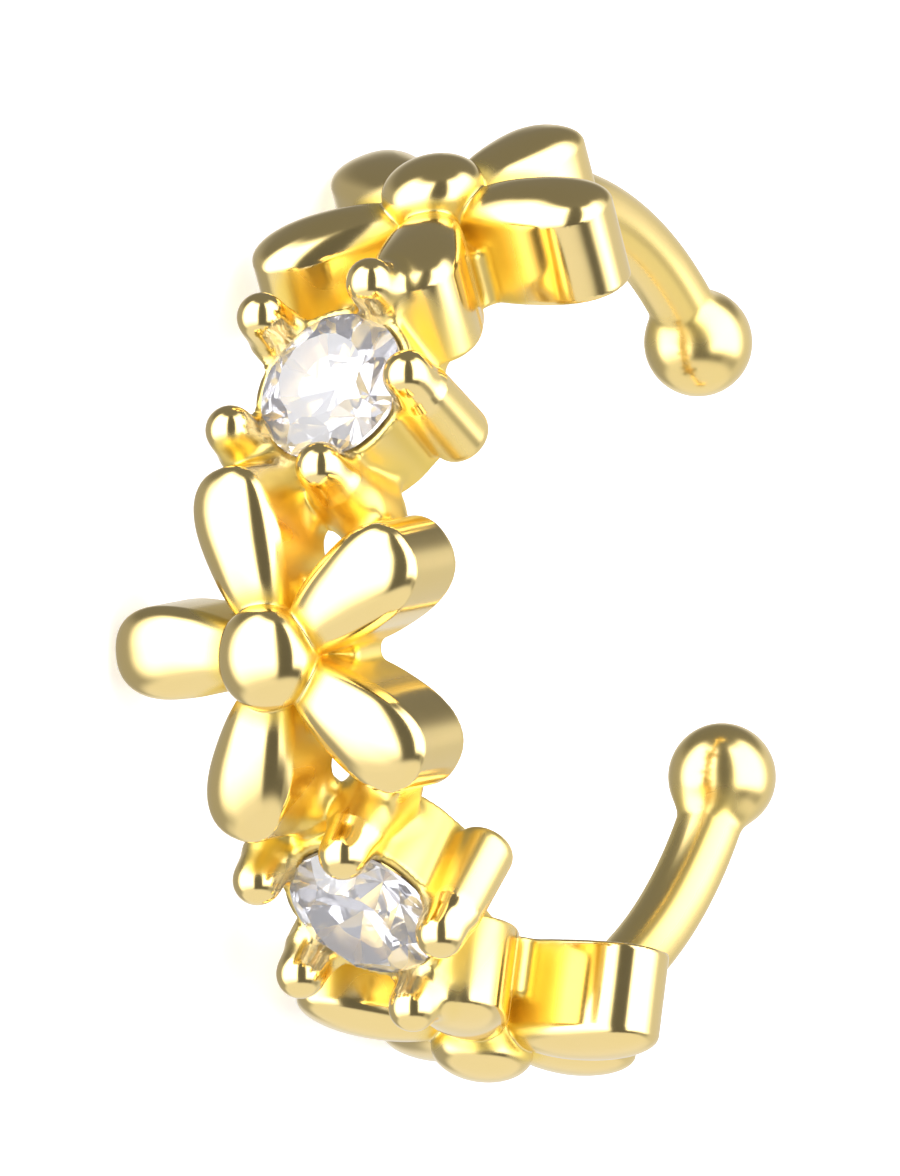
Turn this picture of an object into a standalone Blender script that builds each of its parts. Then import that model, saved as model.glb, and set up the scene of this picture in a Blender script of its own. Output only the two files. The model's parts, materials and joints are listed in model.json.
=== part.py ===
"""Open-work ear cuff: a C-shaped ring cast in one piece, with three five-petal flowers,
two round stones in five-prong settings and two plain stems that end in balls.

Metres, +Z up. The cuff lies on its side, so the ring's axis stands nearly upright. The front
flower faces +X, the mouth between the balls faces -X, and the upper end as worn is at -Y.
Every piece is first laid out round the ring's axis, then the whole cuff is leaned until it
rests on three petals.
"""
import math

import bmesh
import bpy
from mathutils import Matrix, Vector

for old in list(bpy.data.objects):
    bpy.data.objects.remove(old, do_unlink=True)

MM = 0.001

# Driving sizes: where the flowers, settings and balls stand round the ring
FRONT_REACH = 6.09 * MM          # ring axis to the centre of the front flower's bead
FRONT_ANGLE = math.radians(1.3)  # the front flower sits a little towards the upper end
SETTING_REACH = 6.00 * MM        # ring axis to the middle of a setting's prong tips
SETTING_ANGLE = math.radians(38.4)
SETTING_FACING = math.radians(32.5)
OUTER_REACH = 5.90 * MM          # ring axis to the centre of an outer flower's bead
OUTER_ANGLE = math.radians(75.0)
OUTER_FACING = math.radians(70.5)
OUTER_TURN = math.radians(3.0)   # the outer flowers are turned a little in their own plane
FLOWER_SHIFT = 0.06 * MM         # the flowers sit a little below the middle of the band
BALL_REACH = 5.76 * MM           # ring axis to the centre of an end ball
BALL_ANGLE = math.radians(147.8)

# Driving sizes: flowers
FLOWER_RADIUS = 2.60 * MM        # bead centre to petal tip, in the flower's plane
PETAL_LENGTH = 2.32 * MM         # the inner end runs in under the bead
PETAL_WIDTH = 1.21 * MM
PETAL_TAPER = 0.24               # how much slimmer a petal gets towards the bead, fuller outside
PETAL_FULLNESS = 2.35            # 2 is an ellipse, more is fuller at the shoulders
PETAL_DOME = 0.62 * MM           # height of a petal's rounded top
PETAL_SHOULDER = 0.38 * MM       # bead centre down to where the rounded top begins
BEAD_RADIUS = 0.67 * MM
BEAD_DOME = 0.57 * MM            # height of the bead's dome over its widest line
BEAD_LIFT = 0.08 * MM            # bead centre to that line
CORE_RADIUS = 1.00 * MM          # column below the bead that holds the petals
CORE_DROP = 0.50 * MM            # bead centre down to the top of that column
CORE_FOOT = 0.03 * MM            # how far the column stands in past the petals' inner faces
FRONT_DEPTH = 1.14 * MM          # bead centre down to the front flower's inner face
OUTER_DEPTH = 1.31 * MM          # the same on the outer flowers

# Driving sizes: stones and their settings
STONE_RADIUS = 1.06 * MM
STONE_TABLE = 0.58               # table width as a share of the stone's width
STONE_CROWN = 0.32 * MM
STONE_GIRDLE = 0.05 * MM
STONE_PAVILION = 0.86 * MM
STONE_DROP = 0.34 * MM           # prong tips' centres down to the girdle
PRONG_BEAD = 0.325 * MM
PRONG_RADIUS = 0.30 * MM
POST_FOOT = 0.36 * MM            # a post's radius at its rounded inner end
PRONG_CLEAR = 0.06 * MM          # prong to girdle, sideways
PRONGS = 5
SETTING_DEPTH = 1.74 * MM        # prong tips' centres down to the inner end of the setting
POST_DEPTH = 1.82 * MM           # the same to the inner end of a post
CUP_WALL = 0.16 * MM             # how far the cup stands out past the girdle
CUP_FOOT = 1.08 * MM             # the cup's radius at its inner end
CUP_DROP = 0.47 * MM             # prong tips' centres down to the cup's rim
CUP_BORE = 0.46 * MM
SEAT_CLEAR = 0.04 * MM           # seat to stone

# Driving sizes: stems, balls and the bars between the pieces
BALL_RADIUS = 0.76 * MM
STEM_WIDTH = 0.92 * MM           # along the ring's axis
STEM_THICK = 0.84 * MM           # across the ring's wall
STEM_SINK = 0.17 * MM            # how much nearer the ring axis a stem starts than the bead
STEM_START = math.radians(86.0)
BAR_THICK = 0.46 * MM
BAR_WIDTH = 0.62 * MM

# What follows from them
PETALS = 5
PETAL_STEPS = 20
PETAL_MIDDLE = FLOWER_RADIUS - PETAL_LENGTH / 2
PRONG_CIRCLE = STONE_RADIUS + PRONG_CLEAR + PRONG_RADIUS
STEM_REACH = OUTER_REACH - STEM_SINK


def seat(reach, angle, facing):
    """Frame of a piece: x along the ring's axis, y round the ring, z outwards."""
    out = Vector((math.cos(facing), math.sin(facing), 0.0))
    round_ring = Vector((-math.sin(facing), math.cos(facing), 0.0))
    axis = Vector((0.0, 0.0, 1.0))
    middle = Vector((math.cos(angle), math.sin(angle), 0.0)) * reach
    turn = Matrix((round_ring, axis * -1.0, out)).transposed().to_4x4()
    return Matrix.Translation(middle) @ turn @ Matrix.Rotation(math.radians(-90.0), 4, "Z")


LOWERED = Matrix.Translation((-FLOWER_SHIFT, 0.0, 0.0))
FRONT = seat(FRONT_REACH, -FRONT_ANGLE, -FRONT_ANGLE) @ LOWERED
SETTING = seat(SETTING_REACH, SETTING_ANGLE, SETTING_FACING)
SETTING_POSTS = seat(SETTING_REACH, SETTING_ANGLE, SETTING_ANGLE)
OUTER = seat(OUTER_REACH, OUTER_ANGLE, OUTER_FACING) @ LOWERED


def petal_rim(angle):
    """A point of a petal's outline, one half long and one half wide."""
    x, y = math.cos(angle), math.sin(angle)
    full = (abs(x) ** PETAL_FULLNESS + abs(y) ** PETAL_FULLNESS) ** (1.0 / PETAL_FULLNESS)
    return x / full, y / full * (1.0 + PETAL_TAPER * x / full)


def petal_feet(frame, first, depth):
    """The outlines of a flower's petals at their inner faces."""
    feet = []
    for i in range(PETALS):
        turn = frame @ Matrix.Rotation(first + math.tau * i / PETALS, 4, "Z")
        for step in range(PETAL_STEPS):
            x, y = petal_rim(math.tau * step / PETAL_STEPS)
            feet.append(turn @ Vector((PETAL_MIDDLE + x * PETAL_LENGTH / 2,
                                       y * PETAL_WIDTH / 2, -depth)))
    return feet


def lowest(feet, lean):
    return min(p.x * math.sin(lean) + p.z * math.cos(lean) for p in feet)


# The cuff rests on the front flower's lowest petal and on one petal of each outer flower, so
# it leans by as much as brings these to one level
FRONT_FEET = petal_feet(FRONT, math.pi, FRONT_DEPTH)
OUTER_FEET = petal_feet(OUTER, OUTER_TURN, OUTER_DEPTH)
LEAN, STEEPER = 0.0, math.radians(15.0)
for _ in range(40):
    between = (LEAN + STEEPER) / 2
    if lowest(OUTER_FEET, between) > lowest(FRONT_FEET, between):
        LEAN = between
    else:
        STEEPER = between
FLOOR = -lowest(FRONT_FEET, LEAN)
FAR_FRONT = (FRONT_REACH + BEAD_LIFT) * math.cos(LEAN) + BEAD_DOME
FAR_BACK = BALL_REACH * math.cos(BALL_ANGLE) * math.cos(LEAN) - BALL_RADIUS
REST = (Matrix.Translation((-(FAR_FRONT + FAR_BACK) / 2, 0.0, FLOOR))
        @ Matrix.Rotation(-LEAN, 4, "Y"))


def collection(name):
    made = bpy.data.collections.new(name)
    bpy.context.scene.collection.children.link(made)
    return made


PARTS = collection("ear_cuff")
CUTTERS = collection("joined_shapes")


def material(name, colour, metallic, roughness):
    made = bpy.data.materials.new(name)
    made.use_nodes = True
    shader = made.node_tree.nodes["Principled BSDF"]
    shader.inputs["Base Color"].default_value = (*colour, 1.0)
    shader.inputs["Metallic"].default_value = metallic
    shader.inputs["Roughness"].default_value = roughness
    return made


GOLD = material("polished_gold_plate", (0.90, 0.66, 0.24), 1.0, 0.12)
STONE = material("clear_stone", (0.93, 0.93, 0.95), 0.0, 0.03)


def new_object(name, bm, group, finish):
    """Puts a mesh laid out round the ring's axis into the leaned cuff."""
    bmesh.ops.transform(bm, matrix=REST, verts=bm.verts)
    bmesh.ops.recalc_face_normals(bm, faces=bm.faces)
    mesh = bpy.data.meshes.new(name)
    bm.to_mesh(mesh)
    bm.free()
    mesh.materials.append(finish)
    mesh.shade_smooth()
    mesh.set_sharp_from_angle(angle=math.radians(35.0))
    made = bpy.data.objects.new(name, mesh)
    group.objects.link(made)
    if group is CUTTERS:
        made.hide_render = True
        made.display_type = "WIRE"
    return made


def both_sides(obj):
    """The lower half of the cuff mirrors the upper half."""
    mirror = obj.modifiers.new("Other half", "MIRROR")
    mirror.use_axis = (False, True, False)
    mirror.use_mirror_merge = False
    return obj


def join(target, other, label):
    union = target.modifiers.new(label, "BOOLEAN")
    union.operation = "UNION"
    union.solver = "EXACT"
    union.object = other


def turned(bm, profile, steps, frame):
    """A profile of (radius, height) pairs turned once round the frame's z axis."""
    verts = [bm.verts.new((r, 0.0, z)) for r, z in profile]
    edges = [bm.edges.new(pair) for pair in zip(verts, verts[1:])]
    if profile[0][0] > 1e-9:
        edges.append(bm.edges.new((verts[-1], verts[0])))
    bmesh.ops.spin(bm, geom=verts + edges, axis=(0, 0, 1), cent=(0, 0, 0),
                   steps=steps, angle=math.tau, use_merge=True, use_duplicate=False)
    bmesh.ops.remove_doubles(bm, verts=bm.verts, dist=1e-8)
    bmesh.ops.transform(bm, matrix=frame, verts=bm.verts)


def gather(target, source):
    """Adds one closed shape to a mesh that holds several."""
    mesh = bpy.data.meshes.new("loose")
    source.to_mesh(mesh)
    source.free()
    target.from_mesh(mesh)
    bpy.data.meshes.remove(mesh)


def arc(radius, centre, start, end, steps):
    """Points of an arc in a profile, angles up from the horizontal."""
    points = []
    for i in range(steps + 1):
        a = math.radians(start + (end - start) * i / steps)
        points.append((max(radius * math.cos(a), 0.0), centre + radius * math.sin(a)))
    return points


def petal(frame, turn, depth):
    """One petal: half an ellipsoid on straight walls that run down to the inner face."""
    bm = bmesh.new()
    bmesh.ops.create_uvsphere(bm, u_segments=PETAL_STEPS, v_segments=10, radius=1.0)
    bmesh.ops.bisect_plane(bm, geom=bm.verts[:] + bm.edges[:] + bm.faces[:], dist=1e-6,
                           plane_co=(0, 0, 0), plane_no=(0, 0, 1), clear_inner=True)
    rim = [e for e in bm.edges if len(e.link_faces) == 1]
    wall = bmesh.ops.extrude_edge_only(bm, edges=rim)["geom"]
    foot = [g for g in wall if isinstance(g, bmesh.types.BMVert)]
    edge = [g for g in wall if isinstance(g, bmesh.types.BMEdge) and len(g.link_faces) == 1]
    bmesh.ops.translate(bm, vec=(0, 0, -(depth - PETAL_SHOULDER) / PETAL_DOME), verts=foot)
    bmesh.ops.contextual_create(bm, geom=edge)
    n = PETAL_FULLNESS
    for v in bm.verts:
        full = (abs(v.co.x) ** n + abs(v.co.y) ** n) ** (1.0 / n)
        if full > 1e-9:
            v.co.xy *= v.co.xy.length / full
            v.co.y *= 1.0 + PETAL_TAPER * v.co.x
    bmesh.ops.triangulate(bm, faces=[f for f in bm.faces if len(f.verts) == 4])
    bmesh.ops.scale(bm, vec=(PETAL_LENGTH / 2, PETAL_WIDTH / 2, PETAL_DOME), verts=bm.verts)
    lay = (frame @ Matrix.Rotation(turn, 4, "Z")
           @ Matrix.Translation((PETAL_MIDDLE, 0.0, -PETAL_SHOULDER)))
    bmesh.ops.transform(bm, matrix=lay, verts=bm.verts)
    return bm


def flower_petals(frame, first, depth):
    bm = bmesh.new()
    for i in range(PETALS):
        gather(bm, petal(frame, first + math.tau * i / PETALS, depth))
    return bm


def flower_middle(frame, depth):
    """The bead, low over its widest line and full round under it, on its column."""
    bm = bmesh.new()
    neck = -math.degrees(math.asin(min((CORE_DROP + BEAD_LIFT) / BEAD_RADIUS, 0.95)))
    low = BEAD_DOME / BEAD_RADIUS
    profile = [(r, BEAD_LIFT + z * low) for r, z in arc(BEAD_RADIUS, 0.0, 90.0, 0.0, 6)]
    profile += arc(BEAD_RADIUS, BEAD_LIFT, 0.0, neck, 4)[1:]
    foot = -(depth + CORE_FOOT)
    profile += [(CORE_RADIUS, -CORE_DROP), (CORE_RADIUS, foot), (0.0, foot)]
    turned(bm, profile, 24, frame)
    return bm


def prong(turn):
    """A round post with a ball tip over the stone's edge, running in towards the ring's axis."""
    bm = bmesh.new()
    neck = -math.degrees(math.acos(PRONG_RADIUS / PRONG_BEAD))
    soft = POST_FOOT / 3
    profile = arc(PRONG_BEAD, 0.0, 90.0, neck, 6)
    tip = SETTING @ Vector((PRONG_CIRCLE * math.cos(turn), PRONG_CIRCLE * math.sin(turn), 0.0))
    depth = POST_DEPTH + (SETTING_POSTS.inverted() @ tip).z
    profile += [(POST_FOOT, -depth + soft), (POST_FOOT - soft, -depth), (0.0, -depth)]
    stand = SETTING_POSTS.copy()
    stand.translation = tip
    turned(bm, profile, 14, stand)
    return bm


def cup(frame):
    """The wall under the stone, with a sloped seat and an open bore."""
    bm = bmesh.new()
    outer = STONE_RADIUS + CUP_WALL
    belly = STONE_DROP + STONE_GIRDLE
    slope = STONE_RADIUS / STONE_PAVILION
    seat_rim = STONE_RADIUS - (CUP_DROP - belly) * slope + SEAT_CLEAR * math.hypot(1.0, slope)
    seat_foot = CUP_DROP + (seat_rim - CUP_BORE) / slope
    profile = [(outer, -CUP_DROP), (CUP_FOOT, -SETTING_DEPTH), (CUP_BORE, -SETTING_DEPTH),
               (CUP_BORE, -seat_foot), (seat_rim, -CUP_DROP)]
    turned(bm, profile, 30, frame)
    return bm


def bar(start, end, width, thick, outward):
    """A soft-edged bar between two points."""
    bm = bmesh.new()
    along = (end - start)
    side = along.cross(outward).normalized()
    out = side.cross(along).normalized()
    turn = Matrix((along.normalized(), side, out)).transposed().to_4x4()
    bmesh.ops.create_cube(bm, size=1.0)
    bmesh.ops.scale(bm, vec=(along.length, width, thick), verts=bm.verts)
    bmesh.ops.bevel(bm, geom=bm.edges[:], offset=thick / 5, segments=2, profile=0.5,
                    affect="EDGES", material=-1)
    bmesh.ops.transform(bm, matrix=Matrix.Translation((start + end) / 2) @ turn, verts=bm.verts)
    return bm


def stem():
    """A D-section stem, flat inside and round outside, swept round the ring to the ball."""
    bm = bmesh.new()
    half = STEM_WIDTH / 2
    section = []
    for i in range(9):
        a = math.pi * i / 8
        section.append((half * math.cos(a), STEM_THICK * (0.10 + 0.40 * math.sin(a))))
    section += [(-half * 0.96, -STEM_THICK * 0.34), (-half * 0.72, -STEM_THICK * 0.50),
                (half * 0.72, -STEM_THICK * 0.50), (half * 0.96, -STEM_THICK * 0.34)]
    steps = 22
    loops = []
    for i in range(steps + 1):
        share = i / steps
        angle = STEM_START + (BALL_ANGLE - STEM_START) * share
        reach = STEM_REACH + (BALL_REACH - STEM_REACH) * share - STEM_THICK * 0.25 * (1 - share) ** 3
        out = Vector((math.cos(angle), math.sin(angle), 0.0))
        loop = [bm.verts.new(out * (reach + h) + Vector((0.0, 0.0, w))) for w, h in section]
        loops.append([bm.edges.new((a, b)) for a, b in zip(loop, loop[1:] + loop[:1])])
    for one, two in zip(loops, loops[1:]):
        bmesh.ops.bridge_loops(bm, edges=one + two)
    bmesh.ops.triangulate(bm, faces=bm.faces)
    for end in (loops[0], loops[-1]):
        bmesh.ops.contextual_create(bm, geom=end)
    return bm


def end_ball():
    bm = bmesh.new()
    bmesh.ops.create_uvsphere(bm, u_segments=24, v_segments=14, radius=BALL_RADIUS)
    middle = Vector((math.cos(BALL_ANGLE), math.sin(BALL_ANGLE), 0.0)) * BALL_REACH
    bmesh.ops.translate(bm, vec=middle, verts=bm.verts)
    return bm


def brilliant(frame):
    """Round brilliant: an eight-sided table, 32 crown facets, a thin girdle, 24 below."""
    table = STONE_RADIUS * STONE_TABLE
    top = -STONE_DROP + STONE_CROWN
    rim = -STONE_DROP
    belly = rim - STONE_GIRDLE
    culet = belly - STONE_PAVILION
    half = math.pi / 8
    star = (table + STONE_RADIUS) / 2
    star_z = top - (star * math.cos(half) - table) * STONE_CROWN / (STONE_RADIUS - table)
    low = STONE_RADIUS * 0.24
    low_z = culet + low * math.cos(half) * STONE_PAVILION / STONE_RADIUS
    rings = [(table, top, 8, 0.0), (star, star_z, 8, half), (STONE_RADIUS, rim, 16, 0.0),
             (STONE_RADIUS, belly, 16, 0.0), (low, low_z, 8, half)]
    bm = bmesh.new()
    bm.verts.new((0.0, 0.0, culet))
    for r, z, count, start in rings:
        for i in range(count):
            a = start + math.tau * i / count
            bm.verts.new((r * math.cos(a), r * math.sin(a), z))
    bmesh.ops.convex_hull(bm, input=bm.verts[:])
    bmesh.ops.dissolve_limit(bm, angle_limit=math.radians(1.0), verts=bm.verts, edges=bm.edges)
    bmesh.ops.transform(bm, matrix=frame, verts=bm.verts)
    return bm


def flipped(bm):
    """The same shape on the other half of the cuff."""
    bmesh.ops.scale(bm, vec=(1.0, -1.0, 1.0), verts=bm.verts)
    bmesh.ops.reverse_faces(bm, faces=bm.faces)
    return bm


# Prongs stand one towards +Z, so two stand towards each neighbouring flower
PRONG_TURNS = [math.tau * i / PRONGS for i in range(PRONGS)]

# The casting
casting = new_object("cuff_casting", flower_middle(FRONT, FRONT_DEPTH), PARTS, GOLD)

front_petals = new_object("front_petals", flower_petals(FRONT, math.pi, FRONT_DEPTH),
                          CUTTERS, GOLD)
join(casting, front_petals, "Front petals")

cups = both_sides(new_object("setting_cups", cup(SETTING), CUTTERS, GOLD))

# Bars tie each setting to the flowers on both sides of it
FRONT_SIDE = seat(FRONT_REACH, 0.0, 0.0)
bar_level = -(FRONT_DEPTH - BAR_THICK / 2)
setting_level = -(SETTING_DEPTH - BAR_THICK)
petal_reach = (FLOWER_RADIUS - PETAL_WIDTH / 2) * 0.92


def front_bar(turn, post, wide, thick):
    """A bar from a petal of the front flower to a prong of the setting at +Y."""
    begin = FRONT_SIDE @ Vector((petal_reach * math.cos(turn), petal_reach * math.sin(turn),
                                 bar_level))
    a = math.tau * post / PRONGS
    finish = SETTING @ Vector((PRONG_CIRCLE * 0.86 * math.cos(a),
                               PRONG_CIRCLE * 0.86 * math.sin(a), setting_level))
    return bar(begin, finish, BAR_WIDTH * wide, thick, Vector((1.0, 0.0, 0.0)))


bars = bmesh.new()
gather(bars, front_bar(math.radians(108.0), 3.0, 1.0, BAR_THICK))
gather(bars, front_bar(math.radians(36.0), 4.0, 0.9, BAR_THICK))
outer_level = -(OUTER_DEPTH - BAR_THICK / 2)
for shift in (-0.9, 0.45):
    begin = SETTING @ Vector((shift * BAR_WIDTH, STONE_RADIUS * 0.9, setting_level))
    finish = OUTER @ Vector((shift * BAR_WIDTH, -CORE_RADIUS * 0.8, outer_level))
    gather(bars, bar(begin, finish, BAR_WIDTH, BAR_THICK, Vector((0.5, 0.9, 0.0))))
bars_object = both_sides(new_object("tie_bars", bars, CUTTERS, GOLD))
inner_bars = both_sides(new_object("inner_tie_bars",
                                   front_bar(math.radians(97.0), 3.45, 0.7, BAR_THICK * 0.9),
                                   CUTTERS, GOLD))

prongs = bmesh.new()
for turn in PRONG_TURNS:
    gather(prongs, prong(turn))
gather(prongs, end_ball())
prongs_object = both_sides(new_object("prongs_and_balls", prongs, CUTTERS, GOLD))

outer_petals = both_sides(new_object("outer_petals", flower_petals(OUTER, OUTER_TURN, OUTER_DEPTH),
                                     CUTTERS, GOLD))
outer_middles = both_sides(new_object("outer_middles", flower_middle(OUTER, OUTER_DEPTH),
                                      CUTTERS, GOLD))
stems = both_sides(new_object("stems", stem(), CUTTERS, GOLD))

join(casting, bars_object, "Bars")
join(casting, inner_bars, "Inner bars")
join(casting, cups, "Cups")
join(casting, prongs_object, "Prongs and balls")
join(casting, stems, "Stems")
join(casting, outer_middles, "Outer beads")
join(casting, outer_petals, "Outer petals")

# The stones
new_object("stone_upper", flipped(brilliant(SETTING)), PARTS, STONE)
new_object("stone_lower", brilliant(SETTING), PARTS, STONE)
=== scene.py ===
"""Flower ear cuff in mirror-polished gold plate, lying on its side on a white table.

Lengths below are in millimetres. The cuff's own layout frame has the ring's axis as Z, the front
flower at +X and the lower half, as worn, at +Y. TO_TABLE carries it to where the cuff lies.
"""
import json
import math

import bmesh
import bpy
import numpy as np
from mathutils import Matrix, Vector

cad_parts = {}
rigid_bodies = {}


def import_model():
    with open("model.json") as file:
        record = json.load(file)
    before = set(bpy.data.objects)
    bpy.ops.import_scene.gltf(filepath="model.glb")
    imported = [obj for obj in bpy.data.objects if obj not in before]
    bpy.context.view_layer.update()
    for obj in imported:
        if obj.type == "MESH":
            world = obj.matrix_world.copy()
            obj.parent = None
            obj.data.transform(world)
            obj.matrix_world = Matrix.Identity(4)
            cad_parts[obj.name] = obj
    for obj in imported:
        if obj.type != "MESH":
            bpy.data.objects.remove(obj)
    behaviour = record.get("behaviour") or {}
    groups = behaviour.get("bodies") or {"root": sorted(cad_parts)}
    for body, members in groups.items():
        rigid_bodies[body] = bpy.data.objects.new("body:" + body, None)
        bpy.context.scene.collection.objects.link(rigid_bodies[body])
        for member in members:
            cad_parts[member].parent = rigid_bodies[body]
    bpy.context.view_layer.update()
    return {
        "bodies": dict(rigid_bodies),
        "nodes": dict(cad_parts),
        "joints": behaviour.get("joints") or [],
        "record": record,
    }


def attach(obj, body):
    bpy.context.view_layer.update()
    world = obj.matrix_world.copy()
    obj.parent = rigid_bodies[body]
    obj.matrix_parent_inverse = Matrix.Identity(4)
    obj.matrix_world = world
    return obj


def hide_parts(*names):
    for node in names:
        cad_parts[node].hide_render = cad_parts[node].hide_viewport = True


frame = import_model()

MM = 0.001

# Where the flowers, settings and balls stand round the ring
FRONT_REACH = 6.09
FRONT_ANGLE = math.radians(1.3)
SETTING_REACH = 6.00
SETTING_ANGLE = math.radians(38.4)
SETTING_FACING = math.radians(32.5)
OUTER_REACH = 5.90
OUTER_ANGLE = math.radians(75.0)
OUTER_FACING = math.radians(70.5)
OUTER_TURN = math.radians(3.0)
FLOWER_SHIFT = 0.06
BALL_REACH = 5.76
BALL_ANGLE = math.radians(147.8)

# Flowers
PETALS = 5
PETAL_STEPS = 20
FLOWER_RADIUS = 2.60
PETAL_LENGTH = 2.32
PETAL_WIDTH = 1.21
PETAL_TAPER = 0.24
PETAL_FULLNESS = 2.35
PETAL_DOME = 0.42
PETAL_SHOULDER = 0.18
BEAD_RADIUS = 0.70
BEAD_DOME = 0.43
BEAD_LIFT = 0.19
CORE_RADIUS = 1.00
CORE_DROP = 0.50
FRONT_DEPTH = 1.14
OUTER_DEPTH = 1.31
PETAL_MIDDLE = FLOWER_RADIUS - PETAL_LENGTH / 2

# Settings and stones
STONE_RADIUS = 1.06
STONE_TABLE = 0.58
STONE_CROWN = 0.32
STONE_GIRDLE = 0.05
STONE_PAVILION = 0.86
STONE_DROP = 0.34
PRONG_BEAD = 0.335
PRONG_RADIUS = 0.30
POST_BODY = 0.39
POST_FOOT = 0.42
PRONG_CLEAR = 0.06
PRONGS = 5
SETTING_DEPTH = 1.74
POST_DEPTH = 1.66
CUP_WALL = 0.16
CUP_FOOT = 1.10
CUP_DROP = 0.39
CUP_BORE = 0.46
SEAT_CLEAR = 0.02
PRONG_CIRCLE = STONE_RADIUS + PRONG_CLEAR + PRONG_RADIUS

# Stems, balls and tie bars
BALL_RADIUS = 0.76
STEM_WIDTH = 0.92
STEM_THICK = 0.84
STEM_REACH = 5.73
STEM_DIP = 0.25           # how far it starts sunk under the flower, in thicknesses
STEM_SHOULDER = 0.10      # middle up to where its round top begins, in thicknesses
STEM_START = math.radians(86.0)
BAR_THICK = 0.46
BAR_WIDTH = 0.62
BAR_REACH = 0.92          # where a front bar is tied to its petal, as a share of the reach
POST_REACH = 0.86         # and to its prong, as a share of the prongs' circle
SETTING_TIE = 0.9         # where an outer bar ends, as a share of the stone's radius
CORE_TIE = 0.8            # and at its other end, as a share of the column's
# Bars from a setting to its outer flower: place along the ring's axis in bar widths, and how
# many times as wide and as thick as a plain bar
OUTER_BARS = ((-0.9, 1.0, 1.0), (0.45, 1.5, 1.9))
# Bars from the front flower to a setting: turn on the flower in degrees, number of the prong,
# and how many times as wide and as thick as a plain bar
FRONT_BARS = ((108.0, 3.0, 1.3, 1.25), (36.0, 4.0, 1.0, 1.2), (97.0, 3.45, 0.9, 1.1))

# How far the soft edges and the fillets of the casting reach
SHARP_EDGE = 0.07
SEAT_EDGE = 0.08
RIM_EDGE = 0.10
POST_EDGE = 0.22
POST_FILLET = 0.22
TIP_FILLET = 0.12
STEM_EDGE = 0.50
PETAL_FILLET = 0.12
BALL_FILLET = 0.16
ARM_FILLET = 0.14
PIECE_FILLET = 0.20
BAR_FILLET = 0.25
FLOOR_FILLET = 0.35


def seat(reach, angle, facing):
    """Frame of a piece: x along the ring's axis, y round the ring, z outwards."""
    out = Vector((math.cos(facing), math.sin(facing), 0.0))
    round_ring = Vector((-math.sin(facing), math.cos(facing), 0.0))
    axis = Vector((0.0, 0.0, 1.0))
    middle = Vector((math.cos(angle), math.sin(angle), 0.0)) * reach
    turn = Matrix((round_ring, axis * -1.0, out)).transposed().to_4x4()
    return Matrix.Translation(middle) @ turn @ Matrix.Rotation(math.radians(-90.0), 4, "Z")


LOWERED = Matrix.Translation((-FLOWER_SHIFT, 0.0, 0.0))
FRONT = seat(FRONT_REACH, -FRONT_ANGLE, -FRONT_ANGLE) @ LOWERED
FRONT_SIDE = seat(FRONT_REACH, 0.0, 0.0)
SETTING = seat(SETTING_REACH, SETTING_ANGLE, SETTING_FACING)
SETTING_POSTS = seat(SETTING_REACH, SETTING_ANGLE, SETTING_ANGLE)
OUTER = seat(OUTER_REACH, OUTER_ANGLE, OUTER_FACING) @ LOWERED


def petal_rim(angle):
    """A point of a petal's outline, one half long and one half wide."""
    x, y = math.cos(angle), math.sin(angle)
    full = (abs(x) ** PETAL_FULLNESS + abs(y) ** PETAL_FULLNESS) ** (1.0 / PETAL_FULLNESS)
    return x / full, y / full * (1.0 + PETAL_TAPER * x / full)


def petal_feet(frame, first, depth):
    """The outlines of a flower's petals at their inner faces."""
    feet = []
    for i in range(PETALS):
        turn = frame @ Matrix.Rotation(first + math.tau * i / PETALS, 4, "Z")
        for step in range(PETAL_STEPS):
            x, y = petal_rim(math.tau * step / PETAL_STEPS)
            feet.append(turn @ Vector((PETAL_MIDDLE + x * PETAL_LENGTH / 2,
                                       y * PETAL_WIDTH / 2, -depth)))
    return feet


def lowest(feet, lean):
    """How low a flower's petals reach when the cuff leans."""
    return min(p.x * math.sin(lean) + p.z * math.cos(lean) for p in feet)


# The cuff rests on one petal of each flower, so it leans by as much as brings them level
FRONT_FEET = petal_feet(FRONT, math.pi, FRONT_DEPTH)
OUTER_FEET = petal_feet(OUTER, OUTER_TURN, OUTER_DEPTH)
LEAN, STEEPER = 0.0, math.radians(15.0)
for _ in range(40):
    between = (LEAN + STEEPER) / 2
    if lowest(OUTER_FEET, between) > lowest(FRONT_FEET, between):
        LEAN = between
    else:
        STEEPER = between
TABLE_DROP = -lowest(FRONT_FEET, LEAN)
FAR_FRONT = (FRONT_REACH + BEAD_LIFT) * math.cos(LEAN) + BEAD_DOME
FAR_BACK = BALL_REACH * math.cos(BALL_ANGLE) * math.cos(LEAN) - BALL_RADIUS
TO_TABLE = (Matrix.Scale(MM, 4)
            @ Matrix.Translation((-(FAR_FRONT + FAR_BACK) / 2, 0.0, TABLE_DROP))
            @ Matrix.Rotation(-LEAN, 4, "Y"))


# Camera: the photograph's place, seen from the leaned cuff
camera = bpy.data.objects.new("camera", bpy.data.cameras.new("camera"))
bpy.context.scene.collection.objects.link(camera)
bpy.context.scene.camera = camera
RIGHT = Vector((-0.593102, 0.057329, 0.803083))
UP = Vector((-0.129636, -0.991247, -0.024980))
BACK = Vector((0.794622, -0.118924, 0.595343))
look = Matrix((RIGHT, UP, BACK)).transposed().to_4x4()
look.translation = Vector((0.119213, -0.018141, 0.090817))
camera.matrix_world = look
camera.data.sensor_width = 36.0
camera.data.sensor_fit = "AUTO"
camera.data.lens = 336.69
camera.data.clip_start = 0.001
camera.data.clip_end = 100.0


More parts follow.
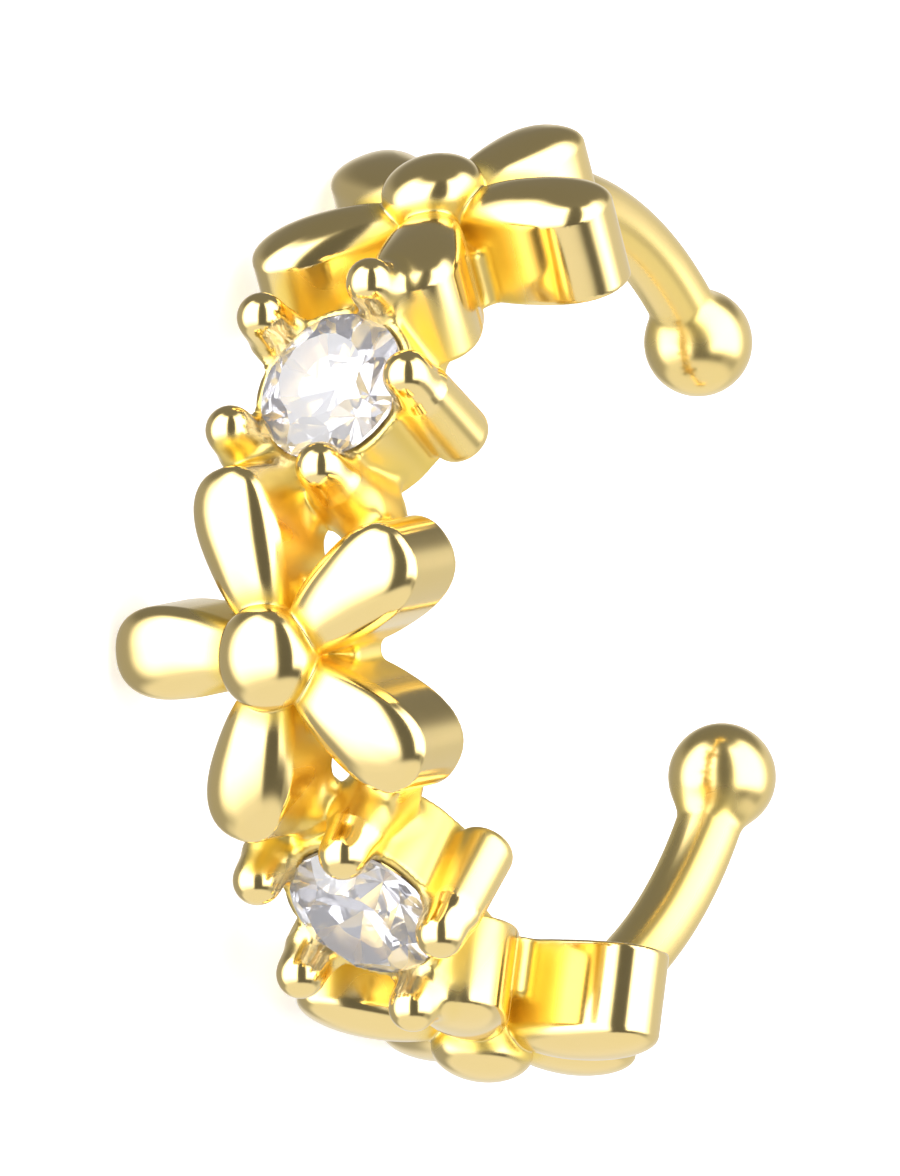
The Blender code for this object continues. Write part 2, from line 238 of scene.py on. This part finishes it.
def linear(hex_colour, alpha=1.0):
    """An sRGB hex colour as the linear values that a shader takes."""
    parts = [int(hex_colour[i:i + 2], 16) / 255.0 for i in (1, 3, 5)]
    flat = [c / 12.92 if c <= 0.04045 else ((c + 0.055) / 1.055) ** 2.4 for c in parts]
    return (*flat, alpha)


def add_node(tree, kind, links=None, settings=None, values=None):
    """Adds one shader node, sets its fields and sockets, and links its inputs."""
    node = tree.nodes.new(kind)
    for name, value in (settings or {}).items():
        setattr(node, name, value)
    for name, value in (values or {}).items():
        node.inputs[name].default_value = value
    for name, output in (links or {}).items():
        tree.links.new(output, node.inputs[name])
    return node


# The casting's surface, as distances in mm that melt into each other at every join

TINY = 1e-9               # keeps a division clear of nought


def melt(a, b, soft):
    """The nearer of two surfaces, with a soft fillet where they meet."""
    share = np.clip(soft - np.abs(a - b), 0.0, None) / soft
    return np.minimum(a, b) - share * share * soft / 4.0


def trim(a, b, soft):
    """What lies inside both surfaces, with a soft edge where they meet."""
    return -melt(-a, -b, soft)


def local(points, place):
    """Points seen from a piece's own frame."""
    back = np.array(place.inverted())
    return points @ back[:3, :3].T + back[:3, 3]


def petal(x, y, z):
    """Distance to straight walls under a rounded top, over a full oval that slims inwards."""
    half_x = PETAL_LENGTH / 2
    half_y = PETAL_WIDTH / 2 * (1.0 + PETAL_TAPER * np.clip(x / half_x, -1.0, 1.0))
    full = PETAL_FULLNESS
    u, v = np.abs(x / half_x) + TINY, np.abs(y / half_y) + TINY
    out = (u ** full + v ** full) ** (1.0 / full)
    rise = np.clip((z + PETAL_SHOULDER) / PETAL_DOME, 0.0, None)
    share = np.hypot(out, rise)
    slope_x = out ** (1.0 - full) * u ** (full - 1.0) / half_x
    slope_y = out ** (1.0 - full) * v ** (full - 1.0) / half_y
    steep = np.sqrt((out / share) ** 2 * (slope_x ** 2 + slope_y ** 2)
                    + (rise / share / PETAL_DOME) ** 2)
    return (share - 1.0) / steep


def bead(flat, z):
    """Distance to a bead with a low dome, full round below its widest line."""
    up = z - BEAD_LIFT
    tall = np.where(up > 0.0, BEAD_DOME, BEAD_RADIUS)
    share = np.hypot(flat / BEAD_RADIUS, up / tall) + TINY
    steep = np.hypot(flat / BEAD_RADIUS ** 2, up / tall ** 2) / share + TINY
    return (share - 1.0) / steep


def flower(points, place, first, depth):
    """Five petals on a column, with a bead over them."""
    x, y, z = local(points, place).T
    flat = np.hypot(x, y)
    body = trim(flat - CORE_RADIUS, z + CORE_DROP, RIM_EDGE)
    for i in range(PETALS):
        a = first + math.tau * i / PETALS
        along = x * math.cos(a) + y * math.sin(a) - PETAL_MIDDLE
        across = y * math.cos(a) - x * math.sin(a)
        body = melt(body, petal(along, across, z), PETAL_FILLET)
    body = melt(body, bead(flat, z), SHARP_EDGE)
    return trim(body, -(z + depth), SHARP_EDGE)


def post(points, turn):
    """A round post with a ball tip, running in towards the ring's axis."""
    tip = SETTING @ Vector((PRONG_CIRCLE * math.cos(turn), PRONG_CIRCLE * math.sin(turn), 0.0))
    depth = POST_DEPTH + (SETTING_POSTS.inverted() @ tip).z
    stand = SETTING_POSTS.copy()
    stand.translation = tip
    x, y, z = local(points, stand).T
    flat = np.hypot(x, y)
    wide = (PRONG_RADIUS + (POST_BODY - PRONG_RADIUS) * np.clip(-z / POST_BODY, 0.0, 1.0)
            + (POST_FOOT - POST_BODY) * np.clip(-z / depth, 0.0, 1.0))
    shaft = trim(flat - wide, np.maximum(z, -(z + depth)), POST_EDGE)
    return melt(shaft, np.hypot(flat, z) - PRONG_BEAD, TIP_FILLET)


def cup(points):
    """The wall under a stone, with its sloped seat and open bore."""
    x, y, z = local(points, SETTING).T
    flat = np.hypot(x, y)
    belly = STONE_DROP + STONE_GIRDLE
    slope = STONE_RADIUS / STONE_PAVILION
    lean = math.hypot(1.0, slope)
    inside = (flat - STONE_RADIUS - (z + belly) * slope) / lean - SEAT_CLEAR
    rim = STONE_RADIUS + CUP_WALL
    narrow = (z + CUP_DROP) * (rim - CUP_FOOT) / (SETTING_DEPTH - CUP_DROP)
    wall = trim(flat - rim - narrow, z + CUP_DROP, RIM_EDGE)
    wall = trim(wall, -(z + SETTING_DEPTH), SHARP_EDGE)
    return trim(wall, -np.minimum(inside, flat - CUP_BORE), SEAT_EDGE)


def bar(points, start, end, width, thick, outward):
    """A soft-edged bar between two points."""
    along = end - start
    side = along.cross(outward).normalized()
    out = side.cross(along).normalized()
    place = Matrix((along.normalized(), side, out)).transposed().to_4x4()
    place.translation = (start + end) / 2
    soft = thick / 5
    half = np.array((along.length, width, thick)) / 2 - soft
    q = np.abs(local(points, place)) - half
    return (np.linalg.norm(np.clip(q, 0.0, None), axis=1)
            + np.clip(q.max(axis=1), None, 0.0) - soft)


def front_bar(points, turn, prong, wide, thick):
    """A bar from a petal of the front flower to a prong."""
    reach = (FLOWER_RADIUS - PETAL_WIDTH / 2) * BAR_REACH
    begin = FRONT_SIDE @ Vector((reach * math.cos(turn), reach * math.sin(turn),
                                 -(FRONT_DEPTH - BAR_THICK / 2)))
    a = math.tau * prong / PRONGS
    tied = PRONG_CIRCLE * POST_REACH
    finish = SETTING @ Vector((tied * math.cos(a), tied * math.sin(a),
                               -(SETTING_DEPTH - BAR_THICK)))
    return bar(points, begin, finish, BAR_WIDTH * wide, thick, Vector((1.0, 0.0, 0.0)))


def stem(points):
    """A D-section, flat inside and round outside, swept round the ring to the ball."""
    x, y, z = points.T
    angle = np.arctan2(y, x)
    share = np.clip((angle - STEM_START) / (BALL_ANGLE - STEM_START), 0.0, 1.0)
    middle = (STEM_REACH + (BALL_REACH - STEM_REACH) * share
              - STEM_THICK * STEM_DIP * (1.0 - share) ** 3)
    height = np.hypot(x, y) - middle
    half_wide, dome = STEM_WIDTH / 2, STEM_THICK * (0.5 - STEM_SHOULDER)
    rise = np.clip((height - STEM_THICK * STEM_SHOULDER) / dome, 0.0, None)
    wide = np.abs(z) / half_wide
    full = np.hypot(wide, rise) + TINY
    steep = np.hypot(wide / full / half_wide, rise / full / dome) + 1e-6
    section = trim((full - 1.0) / steep, -(height + STEM_THICK / 2), STEM_EDGE)
    ends = np.maximum(STEM_START - angle, angle - BALL_ANGLE) * middle
    return trim(section, ends, SEAT_EDGE)


def ball(points):
    """The ball at a stem's end."""
    middle = np.array((math.cos(BALL_ANGLE), math.sin(BALL_ANGLE), 0.0)) * BALL_REACH
    return np.linalg.norm(points - middle, axis=1) - BALL_RADIUS


def folded(points):
    """Points with those of the upper half mirrored onto the lower half."""
    return np.column_stack((points[:, 0], np.abs(points[:, 1]), points[:, 2]))


def outer_bar(points, shift, wide, tall):
    """A bar from a setting to its outer flower."""
    lift = BAR_THICK * (tall - 1.0) / 2
    begin = SETTING @ Vector((shift * BAR_WIDTH, STONE_RADIUS * SETTING_TIE,
                              lift - (SETTING_DEPTH - BAR_THICK)))
    finish = OUTER @ Vector((shift * BAR_WIDTH, -CORE_RADIUS * CORE_TIE,
                             lift - (OUTER_DEPTH - BAR_THICK / 2)))
    return bar(points, begin, finish, BAR_WIDTH * wide, BAR_THICK * tall, Vector((0.5, 0.9, 0.0)))


def casting(points):
    """Distance from the whole casting; the lower half mirrors the upper half."""
    side = folded(points)
    setting = cup(side)
    for i in range(PRONGS):
        setting = melt(setting, post(side, math.tau * i / PRONGS), POST_FILLET)
    for row in OUTER_BARS:
        setting = melt(setting, outer_bar(side, *row), BAR_FILLET)
    for turn, prong, wide, tall in FRONT_BARS:
        tie = front_bar(side, math.radians(turn), prong, wide, BAR_THICK * tall)
        setting = melt(setting, tie, FLOOR_FILLET)
    arm = melt(stem(side), ball(side), BALL_FILLET)
    outer = melt(flower(side, OUTER, OUTER_TURN, OUTER_DEPTH), arm, ARM_FILLET)
    whole = melt(setting, outer, PIECE_FILLET)
    return melt(whole, flower(points, FRONT, math.pi, FRONT_DEPTH), PIECE_FILLET)


def slopes(points, step=0.002):
    """Distance and its gradient at each point."""
    here = casting(points)
    slope = np.empty_like(points)
    for axis in range(3):
        ahead = points.copy()
        ahead[:, axis] += step
        behind = points.copy()
        behind[:, axis] -= step
        slope[:, axis] = (casting(ahead) - casting(behind)) / (2 * step)
    return here, slope


GENTLE_SLOPE = 0.2
LONGEST_STEP = 0.08


def settle(points, rounds):
    """Moves points onto the casting's surface."""
    for _ in range(rounds):
        distance, slope = slopes(points)
        size = np.sum(slope ** 2, axis=1)
        move = (distance / np.maximum(size, GENTLE_SLOPE))[:, None] * slope
        reach = np.linalg.norm(move, axis=1, keepdims=True)
        points = points - move * np.minimum(1.0, LONGEST_STEP / np.maximum(reach, TINY))
    return points


SETTLE_ROUNDS = (2, 1, 2)
SMOOTHINGS = 2            # before each of those rounds


def cast_shape(grain):
    """The casting as an even, fine mesh that follows the melted surface, in mm."""
    bm = bmesh.new()
    bm.from_mesh(bpy.data.objects["cuff_casting"].data)
    bmesh.ops.remove_doubles(bm, verts=bm.verts, dist=1e-8)
    bmesh.ops.transform(bm, matrix=TO_TABLE.inverted(), verts=bm.verts)
    rough = bpy.data.meshes.new("rough_casting")
    bm.to_mesh(rough)
    bm.free()
    holder = bpy.data.objects.new("rough_casting", rough)
    bpy.context.scene.collection.objects.link(holder)
    grid = holder.modifiers.new("Even grid", "REMESH")
    grid.mode = "VOXEL"
    grid.voxel_size = grain
    grid.adaptivity = 0.0
    held = holder.evaluated_get(bpy.context.evaluated_depsgraph_get())
    bm = bmesh.new()
    bm.from_mesh(held.to_mesh())
    held.to_mesh_clear()
    bpy.data.objects.remove(holder, do_unlink=True)
    for rounds in SETTLE_ROUNDS:
        for _ in range(SMOOTHINGS):
            bmesh.ops.smooth_vert(bm, verts=bm.verts, factor=0.5, use_axis_x=True,
                                  use_axis_y=True, use_axis_z=True)
        placed = settle(np.array([v.co for v in bm.verts]), rounds)
        for v, co in zip(bm.verts, placed):
            v.co = co
    return bm


def part_of(whole, low, high):
    """The stretch of the casting between two heights of Y, capped where it is cut."""
    bm = whole.copy()
    for level, side in ((low, -1.0), (high, 1.0)):
        if level is None:
            continue
        cut = bmesh.ops.bisect_plane(bm, geom=bm.verts[:] + bm.edges[:] + bm.faces[:], dist=1e-5,
                                     plane_co=(0.0, level, 0.0), plane_no=(0.0, side, 0.0),
                                     clear_outer=True)
        rim = [g for g in cut["geom_cut"] if isinstance(g, bmesh.types.BMEdge)]
        bmesh.ops.holes_fill(bm, edges=rim, sides=0)
    bmesh.ops.triangulate(bm, faces=[f for f in bm.faces if len(f.verts) > 4])
    return bm


def finish_piece(name, bm, finish, replaced):
    """Makes a piece of a mesh laid out in mm, on the table, riding on the cuff."""
    bmesh.ops.transform(bm, matrix=TO_TABLE, verts=bm.verts)
    mesh = bpy.data.meshes.new(name)
    bm.to_mesh(mesh)
    bm.free()
    mesh.materials.append(finish)
    piece = bpy.data.objects.new(name, mesh)
    bpy.context.scene.collection.objects.link(piece)
    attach(piece, "root")
    for node in replaced:
        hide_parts(node)
    return piece


RECESS_PROBE = 0.5        # a recess is where the casting closes in within this reach
# These shares also deepen the painted recess shade on the stems, balls and setting walls
ARM_SATIN_AND_SHADE = 0.26          # share of the polish that the stems and balls go without
ARM_FADE = math.radians(14.0)
SETTING_SATIN_AND_SHADE = 0.40      # and the settings, below their beads
SETTING_RADIUS = 2.1
SETTING_FADE = 0.4
SETTING_TOP = 0.25


def polish(piece):
    """Shades a cast piece by the true slope of its surface, as a mirror polish shows it, and
    notes how well the mop got into each place: by the room just above it, and less on the
    stems and balls and on the walls and posts of the settings, which are only tumbled. The
    material also uses this value as the mask of its deeper yellow painted recess shade."""
    mesh = piece.data
    mesh.shade_smooth()
    to_layout = np.array(TO_TABLE.inverted())
    points = np.array([v.co for v in mesh.vertices]) @ to_layout[:3, :3].T + to_layout[:3, 3]
    slope = slopes(points)[1]
    slope /= np.linalg.norm(slope, axis=1, keepdims=True)
    turned = slope @ np.array(TO_TABLE)[:3, :3].T / MM
    mesh.normals_split_custom_set_from_vertices(turned)
    mop_reach_and_shade = np.clip(casting(points + slope * RECESS_PROBE) / RECESS_PROBE, 0.0, 1.0)
    along = np.abs(np.arctan2(points[:, 1], points[:, 0])) - STEM_START
    mop_reach_and_shade *= 1.0 - ARM_SATIN_AND_SHADE * np.clip(along / ARM_FADE, 0.0, 1.0)
    x, y, z = local(folded(points), SETTING).T
    within = np.clip((SETTING_RADIUS - np.hypot(x, y)) / SETTING_FADE, 0.0, 1.0)
    below = np.clip((-z - SETTING_TOP) / SETTING_TOP, 0.0, 1.0)
    mop_reach_and_shade *= 1.0 - SETTING_SATIN_AND_SHADE * within * below
    # The material reads this value for its roughness and as the mask of its painted recess shade
    polished = mesh.attributes.new("polish", "FLOAT", "POINT")
    polished.data.foreach_set("value", mop_reach_and_shade.astype(np.float32))


# Materials

def texture_place(tree, repeats_per_mm):
    """Object coordinates, so many pattern repeats to a millimetre."""
    place = add_node(tree, "ShaderNodeTexCoord").outputs["Object"]
    size = repeats_per_mm / MM
    return add_node(tree, "ShaderNodeMapping", links={"Vector": place},
                    values={"Scale": (size, size, size)}).outputs["Vector"]


def polished_gold_plate():
    """Yellow gold plated on brass, tumbled and mirror polished: it mirrors the studio, and
    goes deeper yellow where gold mirrors gold. A deeper yellow is also painted into the base
    colour of the recesses, as painted shade for that gold-on-gold light. The mop can't reach
    into the recesses, so they stay satin."""
    made = bpy.data.materials.new("polished_gold_plate")
    made.use_nodes = True
    tree = made.node_tree
    shader = tree.nodes["Principled BSDF"]
    shader.inputs["Metallic"].default_value = 1.0
    # Faint clouds in the plating, about 0.8 mm apart
    clouds = add_node(tree, "ShaderNodeTexNoise", links={"Vector": texture_place(tree, 1.25)},
                      values={"Scale": 1.0, "Detail": 3.0}).outputs["Fac"]
    tone = add_node(tree, "ShaderNodeMix", settings={"data_type": "RGBA"}, links={0: clouds},
                    values={6: linear("#F9DE96"), 7: linear("#FBE1A0")}).outputs[2]
    # Painted shade: the recesses, and partly the stems, balls and setting walls, are painted a
    # deeper yellow for the gold-on-gold light there
    polish_for_satin_and_shade = add_node(tree, "ShaderNodeAttribute", settings={"attribute_name": "polish"})
    painted_recess_shade = add_node(tree, "ShaderNodeMapRange", settings={"interpolation_type": "SMOOTHSTEP"},
                    links={"Value": polish_for_satin_and_shade.outputs["Fac"]},
                    values={"From Min": 0.25, "From Max": 0.90}).outputs["Result"]
    tone = add_node(tree, "ShaderNodeMix", settings={"data_type": "RGBA"},
                    links={0: painted_recess_shade, 7: tone}, values={6: linear("#F8DB76")}).outputs[2]
    tree.links.new(tone, shader.inputs["Base Color"])
    # Mirror polish outside, satin in the recesses, with the grain of the tumbling on both
    satin = add_node(tree, "ShaderNodeMapRange", settings={"interpolation_type": "SMOOTHSTEP"},
                     links={"Value": polish_for_satin_and_shade.outputs["Fac"]},
                     values={"From Min": 0.35, "From Max": 0.95, "To Min": 0.40,
                             "To Max": 0.13}).outputs["Result"]
    grain = add_node(tree, "ShaderNodeTexNoise", links={"Vector": texture_place(tree, 9.0)},
                     values={"Scale": 1.0, "Detail": 2.0}).outputs["Fac"]
    grain = add_node(tree, "ShaderNodeMapRange", links={"Value": grain},
                     values={"To Min": -0.02, "To Max": 0.02}).outputs["Result"]
    rough = add_node(tree, "ShaderNodeMath", settings={"operation": "ADD"},
                     links={0: satin, 1: grain}).outputs[0]
    tree.links.new(rough, shader.inputs["Roughness"])
    # The polish leaves the cast skin very slightly wavy, a wave each 1.6 mm
    waves = add_node(tree, "ShaderNodeTexNoise", links={"Vector": texture_place(tree, 0.62)},
                     values={"Scale": 1.0, "Detail": 1.0}).outputs["Fac"]
    skin = add_node(tree, "ShaderNodeBump", links={"Height": waves},
                    values={"Strength": 1.0, "Distance": 0.02 * MM}).outputs["Normal"]
    tree.links.new(skin, shader.inputs["Normal"])
    return made


def cubic_zirconia():
    """Clear cubic zirconia, cut and polished as a round brilliant: each facet mirrors or bends
    the studio as one flat window, with a very faint cloud in the crystal."""
    made = bpy.data.materials.new("cut_cubic_zirconia")
    made.use_nodes = True
    tree = made.node_tree
    shader = tree.nodes["Principled BSDF"]
    # Clouds in the crystal, about 0.7 mm apart
    clouds = add_node(tree, "ShaderNodeTexNoise", links={"Vector": texture_place(tree, 1.4)},
                      values={"Scale": 1.0, "Detail": 2.0}).outputs["Fac"]
    tone = add_node(tree, "ShaderNodeMix", settings={"data_type": "RGBA"}, links={0: clouds},
                    values={6: linear("#F7F6FC"), 7: linear("#EFEFFA")}).outputs[2]
    tree.links.new(tone, shader.inputs["Base Color"])
    shader.inputs["Roughness"].default_value = 0.0
    shader.inputs["IOR"].default_value = 2.15
    shader.inputs["Transmission Weight"].default_value = 0.80
    return made


GOLD = polished_gold_plate()
STONE = cubic_zirconia()

GRAIN = 0.045
CUT = 2.05                # the casting is cut here into pieces, between petals and setting

whole = cast_shape(GRAIN)
for name, low, high in (("cast_upper_side", None, -CUT), ("cast_front", -CUT, CUT),
                        ("cast_lower_side", CUT, None)):
    made = finish_piece(name, part_of(whole, low, high), GOLD,
                        ["cuff_casting"] if name == "cast_front" else [])
    polish(made)
whole.free()


# Stones

FACETS = 8                # main facets round the crown and round the pavilion
CROWN_HALVES = math.radians(6.5)      # how much steeper than the mains
PAVILION_HALVES = math.radians(1.9)
STARS = math.radians(13.0)            # how much flatter than the mains


def cut_facet(bm, turn, steepness, reach, height):
    """Grinds one flat facet: it leans by steepness and passes through (reach, height)."""
    normal = Vector((math.sin(steepness) * math.cos(turn), math.sin(steepness) * math.sin(turn),
                     math.cos(steepness)))
    through = Vector((reach * math.cos(turn), reach * math.sin(turn), height))
    bmesh.ops.bisect_plane(bm, geom=bm.verts[:] + bm.edges[:] + bm.faces[:], dist=1e-6,
                           plane_co=through, plane_no=normal, clear_outer=True)
    bmesh.ops.holes_fill(bm, edges=[e for e in bm.edges if len(e.link_faces) == 1], sides=0)


def brilliant():
    """A round brilliant, ground from a short rod: table, stars, kites, halves and pavilion."""
    bm = bmesh.new()
    belly, top = -STONE_DROP - STONE_GIRDLE, -STONE_DROP + STONE_CROWN
    bmesh.ops.create_cone(bm, cap_ends=True, segments=96, radius1=STONE_RADIUS,
                          radius2=STONE_RADIUS, depth=3.0)
    table = STONE_RADIUS * STONE_TABLE
    crown = math.atan2(STONE_CROWN, STONE_RADIUS - table)
    pavilion = math.pi - math.atan2(STONE_PAVILION, STONE_RADIUS)
    step = math.tau / FACETS
    for i in range(FACETS):
        cut_facet(bm, i * step, crown, STONE_RADIUS, -STONE_DROP)
        cut_facet(bm, i * step, pavilion, STONE_RADIUS, belly)
    cut_facet(bm, 0.0, 0.0, 0.0, top)
    halves_reach = STONE_RADIUS * 1.004
    for i in range(2 * FACETS):
        turn = (i + 0.5) * step / 2
        cut_facet(bm, turn, crown + CROWN_HALVES, halves_reach, -STONE_DROP)
        cut_facet(bm, turn, pavilion - PAVILION_HALVES, halves_reach, belly)
    for i in range(FACETS):
        cut_facet(bm, (i + 0.5) * step, crown - STARS, table * 0.985, top)
    return bm


for name, side in (("stone_upper", -1.0), ("stone_lower", 1.0)):
    bm = brilliant()
    bmesh.ops.transform(bm, matrix=SETTING, verts=bm.verts)
    bmesh.ops.scale(bm, vec=(1.0, side, 1.0), verts=bm.verts)
    bmesh.ops.recalc_face_normals(bm, faces=bm.faces)
    finish_piece(name + "_cut", bm, STONE, [name])


# Table and studio light

def white_table():
    """A wide sheet of opal acrylic with lamps under it, as product tables have."""
    bm = bmesh.new()
    bmesh.ops.create_grid(bm, x_segments=1, y_segments=1, size=3.0)
    mesh = bpy.data.meshes.new("table")
    bm.to_mesh(mesh)
    bm.free()
    table = bpy.data.objects.new("table", mesh)
    bpy.context.scene.collection.objects.link(table)
    made = bpy.data.materials.new("backlit_opal_acrylic")
    made.use_nodes = True
    tree = made.node_tree
    shader = tree.nodes["Principled BSDF"]
    shader.inputs["Roughness"].default_value = 0.9
    # Faint clouds in the cast sheet, 0.5 mm apart
    clouds = add_node(tree, "ShaderNodeTexNoise", links={"Vector": texture_place(tree, 2.0)},
                      values={"Scale": 1.0, "Detail": 4.0}).outputs["Fac"]
    tone = add_node(tree, "ShaderNodeMix", settings={"data_type": "RGBA"}, links={0: clouds},
                    values={6: linear("#FAFBFF"), 7: linear("#F6F8FE")}).outputs[2]
    tree.links.new(tone, shader.inputs["Base Color"])
    # The lamps under the sheet wash out most of the cuff's shadow
    tree.links.new(tone, shader.inputs["Emission Color"])
    shader.inputs["Emission Strength"].default_value = 0.45
    mesh.materials.append(made)
    return table


# The metal mirrors the painted studio alone
TABLE = white_table()
TABLE.visible_glossy = False
TABLE.visible_transmission = False

# The studio as the polished metal mirrors it. Directions are in degrees right of the camera and
# up from it. Each row is laid softly over the ones before it: where it starts and ends on the
# left and on the right, at the bottom and at the top, and how bright it is.
SIDE_WALLS = 0.42
STUDIO = (
    ("right wall", (96, 120, 361, 362), (-90, -89, 22, 40), 0.72),
    ("backdrop behind the cuff", (148, 168, 361, 362), (-90, -89, 8, 34), 0.84),
    ("ceiling", (-361, -360, 361, 362), (18, 40, 91, 92), 0.22),
    ("table", (-361, -360, 361, 362), (-92, -91, -46, -34), 0.92),
    ("dark gap at the camera", (-40, -20, 50, 70), (-42, -34, 58, 74), 0.14),
    ("left softbox", (-106, -80, -24, -10), (-48, -8, 52, 70), 3.5),
    ("right softbox", (20, 32, 84, 118), (-28, -10, 55, 71), 3.2),
)


def studio():
    """Paints the studio on the world, by direction from the cuff."""
    world = bpy.data.worlds.new("studio")
    world.use_nodes = True
    bpy.context.scene.world = world
    tree = world.node_tree
    background = tree.nodes["Background"]
    towards = add_node(tree, "ShaderNodeTexCoord").outputs["Generated"]
    across, height, near = (
        add_node(tree, "ShaderNodeVectorMath", settings={"operation": "DOT_PRODUCT"},
                 values={1: axis}, links={0: towards}).outputs["Value"]
        for axis in (RIGHT, UP, BACK))
    turn = add_node(tree, "ShaderNodeMath", settings={"operation": "ARCTAN2"},
                    links={0: across, 1: near}).outputs[0]
    rise = add_node(tree, "ShaderNodeMath", settings={"operation": "ARCSINE"},
                    links={0: height}).outputs[0]
    either_side = add_node(tree, "ShaderNodeMath", settings={"operation": "ABSOLUTE"},
                           links={0: turn}).outputs[0]

    def ramp(value, start, end, low, high):
        """Goes softly from low to high as the angle goes from start to end."""
        return add_node(tree, "ShaderNodeMapRange", settings={"interpolation_type": "SMOOTHSTEP"},
                        links={"Value": value},
                        values={"From Min": math.radians(start), "From Max": math.radians(end),
                                "To Min": low, "To Max": high}).outputs["Result"]

    light = None
    for name, (west, west_full, east_full, east), (low, low_full, top_full, top), power in STUDIO:
        angle = either_side if name.startswith("backdrop") else turn
        edges = (ramp(angle, west, west_full, 0.0, 1.0), ramp(angle, east_full, east, 1.0, 0.0),
                 ramp(rise, low, low_full, 0.0, 1.0), ramp(rise, top_full, top, 1.0, 0.0))
        mask = edges[0]
        for edge in edges[1:]:
            mask = add_node(tree, "ShaderNodeMath", settings={"operation": "MULTIPLY"},
                            links={0: mask, 1: edge}).outputs[0]
        links = {0: mask} if light is None else {0: mask, 2: light}
        light = add_node(tree, "ShaderNodeMix", settings={"label": name}, links=links,
                         values={2: SIDE_WALLS, 3: power}).outputs[0]
    tree.links.new(light, background.inputs["Strength"])
    background.inputs["Color"].default_value = (1.0, 1.0, 1.0, 1.0)


studio()
bpy.context.scene.view_settings.view_transform = "Standard"
